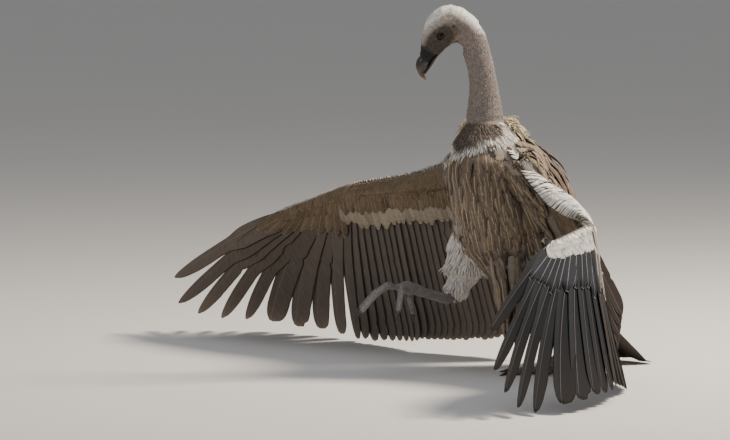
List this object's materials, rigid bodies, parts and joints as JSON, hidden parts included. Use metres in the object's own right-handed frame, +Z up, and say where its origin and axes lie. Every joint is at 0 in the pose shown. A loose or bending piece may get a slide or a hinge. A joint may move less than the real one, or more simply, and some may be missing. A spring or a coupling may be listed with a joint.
{
  "type": "vulture figure",
  "caption": "Life-size white-backed vulture mantling on one foot, both wings dropped and spread, bare neck arched and hooked bill turned to its right.",
  "frame": {"origin": "on the floor, under the middle of the outline seen from above", "axes": "+Z up, the bird faces -Y, its left side is +X and its right wing reaches towards -X"},
  "size_m": [1.658, 0.8795, 0.6429],
  "materials": {
    "crop": "short velvety brown down of the crop",
    "breast_feathers": "long brown lanceolate feathers with buff shaft streaks",
    "white_feathers": "soft white contour feathers",
    "ruff_plumes": "frayed buff-white plumes",
    "thigh_down": "dense woolly off-white down",
    "head_and_neck_skin": "creased pinkish-grey skin under sparse white down",
    "bill_horn": "worn black horn with a pale edge",
    "eye": "wet dark brown eye",
    "tail_feathers": "blackish tail feathers",
    "wing_coverts": "pale grey-brown scaly wing coverts",
    "secondary_feathers": "dark brown flight feathers with paler shafts",
    "primary_feathers": "glossy blackish-slate flight feathers",
    "leg_scales": "dark grey reticulate scales",
    "claw_horn": "black horn, scuffed at the tips"
  },
  "bodies": {
    "root": {"arm_left": "wing_coverts", "arm_right": "wing_coverts", "belly": "breast_feathers", "bill_lower": "bill_horn", "bill_upper": "bill_horn", "breast": "breast_feathers", "claw_hind_left": "claw_horn", "claw_hind_right": "claw_horn", "claw_inner_left": "claw_horn", "claw_inner_right": "claw_horn", "claw_middle_left": "claw_horn", "claw_middle_right": "claw_horn", "claw_outer_left": "claw_horn", "claw_outer_right": "claw_horn", "crop": "crop", "eye_left": "eye", "eye_right": "eye", "flank_plumes": "breast_feathers", "forearm_left": "wing_coverts", "forearm_right": "wing_coverts", "hand_left": "wing_coverts", "hand_right": "wing_coverts", "head": "head_and_neck_skin", "neck_lower": "head_and_neck_skin", "neck_upper": "head_and_neck_skin", "primaries_inner_left": "primary_feathers", "primaries_inner_right": "primary_feathers", "primary_10_left": "primary_feathers", "primary_10_right": "primary_feathers", "primary_6_left": "primary_feathers", "primary_6_right": "primary_feathers", "primary_7_left": "primary_feathers", "primary_7_right": "primary_feathers", "primary_8_left": "primary_feathers", "primary_8_right": "primary_feathers", "primary_9_left": "primary_feathers", "primary_9_right": "primary_feathers", "ruff": "ruff_plumes", "rump": "white_feathers", "secondaries_left": "secondary_feathers", "secondaries_right": "secondary_feathers", "shank_left": "leg_scales", "shank_right": "leg_scales", "tail": "tail_feathers", "tertials_left": "secondary_feathers", "tertials_right": "secondary_feathers", "thigh_left": "thigh_down", "thigh_right": "thigh_down", "toe_hind_left": "leg_scales", "toe_hind_right": "leg_scales", "toe_inner_left": "leg_scales", "toe_inner_right": "leg_scales", "toe_middle_left": "leg_scales", "toe_middle_right": "leg_scales", "toe_outer_left": "leg_scales", "toe_outer_right": "leg_scales"}
  },
  "joints": []
}
